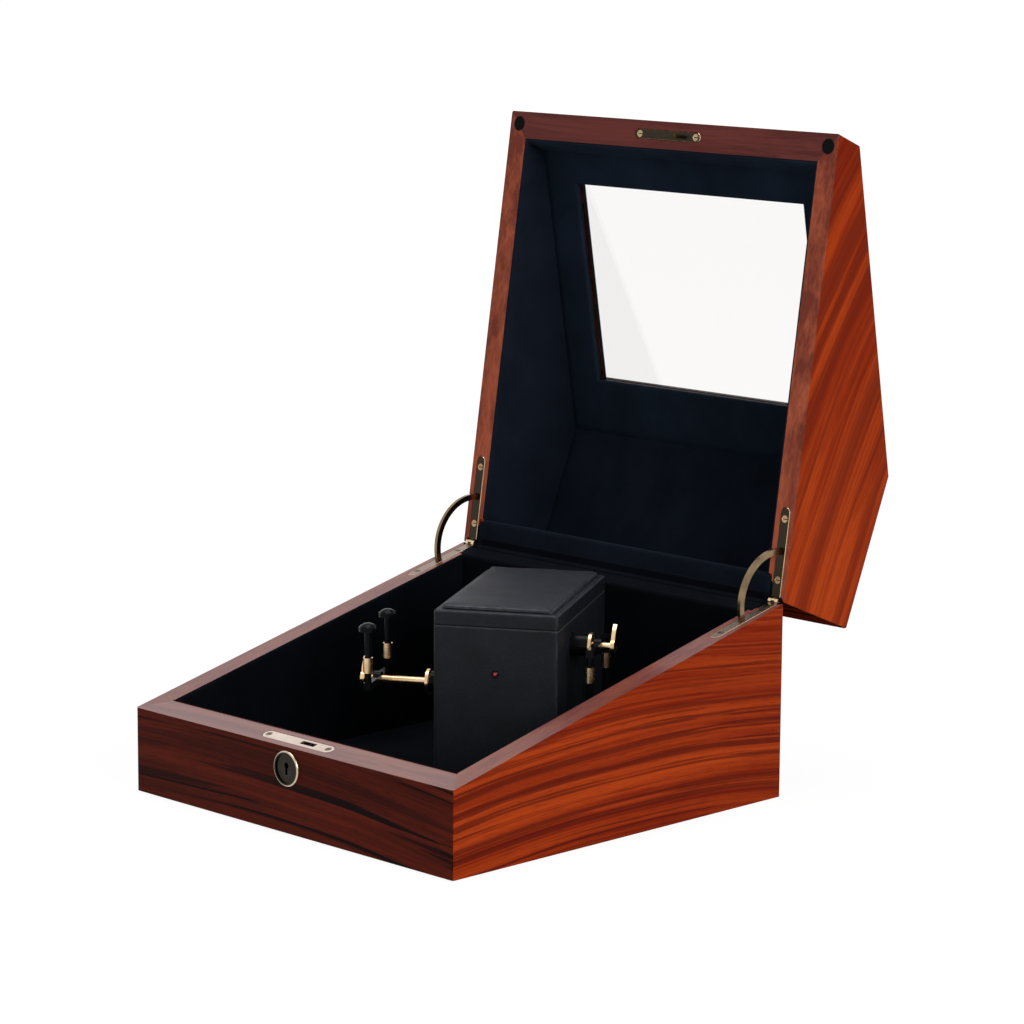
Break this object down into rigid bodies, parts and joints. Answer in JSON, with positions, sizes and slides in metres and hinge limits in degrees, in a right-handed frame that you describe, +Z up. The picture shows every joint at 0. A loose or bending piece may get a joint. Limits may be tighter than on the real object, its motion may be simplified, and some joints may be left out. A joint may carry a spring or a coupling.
{
  "type": "watch winder box",
  "caption": "Wooden box with a sloping glazed lid on quadrant hinges, lined in black, holding a leather-covered winder drive with turning watch holders.",
  "frame": {"origin": "centre of the base's underside", "axes": "+Z up, -Y towards the front with the lock, +X to the right seen from the front"},
  "size_m": [0.3, 0.4021, 0.4314],
  "materials": {
    "wood": "polished rosewood veneer with dark stripes",
    "velvet": "black velvet",
    "felt": "black felt",
    "leather": "fine-grained charcoal leather",
    "glass": "clear float glass",
    "rubber": "matt black",
    "black_plastic": "gloss black",
    "nylon": "natural nylon",
    "steel": "plain steel",
    "cell_wrap": "printed wrap left plain",
    "circuit_board": "green solder mask",
    "red_lens": "translucent red",
    "dark_brass": "darkened brass",
    "brass": "polished and lacquered"
  },
  "bodies": {
    "base": {"base_front_board": "wood", "base_right_board": "wood", "base_back_board": "wood", "base_left_board": "wood", "base_bottom_panel": "wood", "base_felt": "felt", "base_lining_floor": "velvet", "base_lining_front": "velvet", "base_lining_back": "velvet", "base_lining_sides": "velvet", "base_leaf_left": "brass", "base_leaf_right": "brass", "hinge_pins": "brass", "base_screws": "brass", "lock_case": "brass", "lock_escutcheon": "brass", "drive_shell": "leather", "drive_cover": "leather", "drive_pad": "leather", "led_lens": "red_lens", "control_board": "circuit_board", "gear_frame": "steel", "drive_motor": "steel", "spindle_bushes": "black_plastic", "battery_tray": "black_plastic", "battery_cells": "cell_wrap"},
    "lid": {"lid_front_board": "wood", "lid_right_board": "wood", "lid_back_board": "wood", "lid_left_board": "wood", "lid_top_panel": "wood", "lid_window_panel": "wood", "window_glass": "glass", "glazing_bead": "wood", "lid_lining_back": "velvet", "lid_lining_window": "velvet", "lid_lining_sides": "velvet", "lid_leaf_left": "brass", "lid_leaf_right": "brass", "lid_screws": "brass", "lid_bumpers": "rubber", "link_plate": "brass"},
    "stay_left": {"stay_arm_left": "brass"},
    "stay_right": {"stay_arm_right": "brass"},
    "key": {"key_plug": "dark_brass"},
    "bolt": {"lock_bolt": "steel"},
    "left_holder": {"left_spindle": "brass", "left_spindle_gear": "nylon"},
    "left_bar": {"left_strap_bar": "brass", "left_post_bracket": "black_plastic", "left_post_ferrules": "brass", "left_grip_posts": "black_plastic"},
    "right_holder": {"right_spindle": "brass", "right_spindle_gear": "nylon"},
    "right_bar": {"right_strap_bar": "brass", "right_post_bracket": "black_plastic", "right_post_ferrules": "brass", "right_grip_posts": "black_plastic"},
    "pinion": {"motor_pinion": "steel"}
  },
  "joints": [
    {"name": "lid_hinge", "type": "hinge", "parent": "base", "child": "lid", "pos_m": [0, 0.148, 0.13], "axis": [1, 0, 0], "range_deg": [0, 112.4]},
    {"name": "left_stay_swing", "type": "hinge", "parent": "base", "child": "stay_left", "pos_m": [0, 0.148, 0.13], "axis": [1, 0, 0], "range_deg": [0, 56.2]},
    {"name": "right_stay_swing", "type": "hinge", "parent": "base", "child": "stay_right", "pos_m": [0, 0.148, 0.13], "axis": [1, 0, 0], "range_deg": [0, 56.2]},
    {"name": "key_turn", "type": "hinge", "parent": "base", "child": "key", "pos_m": [0, -0.148, 0.043], "axis": [0, -1, 0], "range_deg": [0, 90]},
    {"name": "bolt_throw", "type": "slide", "parent": "base", "child": "bolt", "axis": [-1, 0, 0], "range_m": [0, 0.006]},
    {"name": "left_spin", "type": "hinge", "parent": "base", "child": "left_holder", "pos_m": [0.03265, 0.01429, 0.076], "axis": [0.849, 0.5284, 0], "continuous": true},
    {"name": "right_spin", "type": "hinge", "parent": "base", "child": "right_holder", "pos_m": [0.03265, 0.01429, 0.1061], "axis": [0.849, 0.5284, 0], "continuous": true},
    {"name": "pinion_spin", "type": "hinge", "parent": "base", "child": "pinion", "pos_m": [0.01992, 0.03475, 0.076], "axis": [0.849, 0.5284, 0], "continuous": true},
    {"name": "left_bar_slide", "type": "slide", "parent": "left_holder", "child": "left_bar", "axis": [-0.849, -0.5284, 0], "range_m": [-0.03, 0]},
    {"name": "right_bar_slide", "type": "slide", "parent": "right_holder", "child": "right_bar", "axis": [0.849, 0.5284, 0], "range_m": [0, 0.018]}
  ],
  "couplings": [
    {"joint": "left_stay_swing", "follows": "lid_hinge", "ratio": 0.5},
    {"joint": "right_stay_swing", "follows": "lid_hinge", "ratio": 0.5},
    {"joint": "bolt_throw", "follows": "key_turn", "m_per_rad": 0.0038197},
    {"joint": "right_spin", "follows": "left_spin", "ratio": -1},
    {"joint": "pinion_spin", "follows": "left_spin", "ratio": -1.6667}
  ]
}
